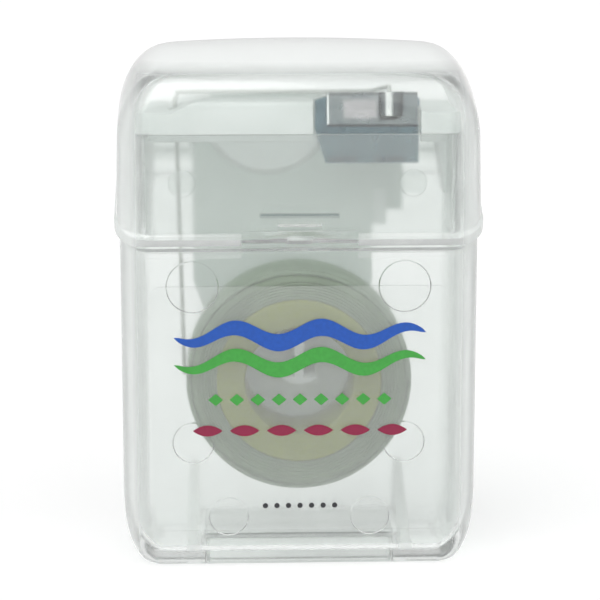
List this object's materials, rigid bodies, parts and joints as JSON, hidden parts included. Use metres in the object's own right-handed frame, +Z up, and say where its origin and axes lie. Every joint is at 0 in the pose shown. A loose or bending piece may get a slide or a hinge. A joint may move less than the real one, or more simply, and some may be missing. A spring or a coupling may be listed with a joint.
{
  "type": "dental floss dispenser",
  "caption": "Clear flip-top pocket case with a frosted fitment, a steel cutter and a spool of waxed floss that turns on a post.",
  "frame": {"origin": "middle of the bounding box's lower face, on the surface that the case stands on", "axes": "+Z up, -Y towards the front of the case with its thumb tab, +X to the right seen from the front"},
  "size_m": [0.0358, 0.015, 0.0513],
  "materials": {
    "clear_case": "clear, smooth moulded plastic",
    "clear_lid": "clear, smooth moulded plastic",
    "hinge_web": "clear plastic, whitened by bending",
    "frosted_insert": "frosted translucent plastic",
    "cutter_steel": "rolled strip, satin",
    "core_ring": "dull yellowish ring",
    "wound_floss": "waxed thread, wound",
    "outer_floss": "waxed thread, outer turns",
    "strand_floss": "waxed thread",
    "label_film": "thin clear film"
  },
  "bodies": {
    "case": {"case_body": "clear_case", "insert": "frosted_insert", "cutter": "cutter_steel", "living_hinge": "hinge_web", "floss_strand": "strand_floss", "front_label": "label_film"},
    "lid": {"lid": "clear_lid"},
    "spool": {"spool_core": "core_ring", "floss_winding": "wound_floss", "floss_outer_turns": "outer_floss"}
  },
  "joints": [
    {"name": "lid_hinge", "type": "hinge", "parent": "case", "child": "lid", "pos_m": [0, 0.00747, 0.04], "axis": [-1, 0, 0], "range_deg": [0, 170], "deforming": ["living_hinge"]},
    {"name": "spool_spin", "type": "hinge", "parent": "case", "child": "spool", "pos_m": [0, -0.00028, 0.0183], "axis": [0, 1, 0], "continuous": true}
  ]
}
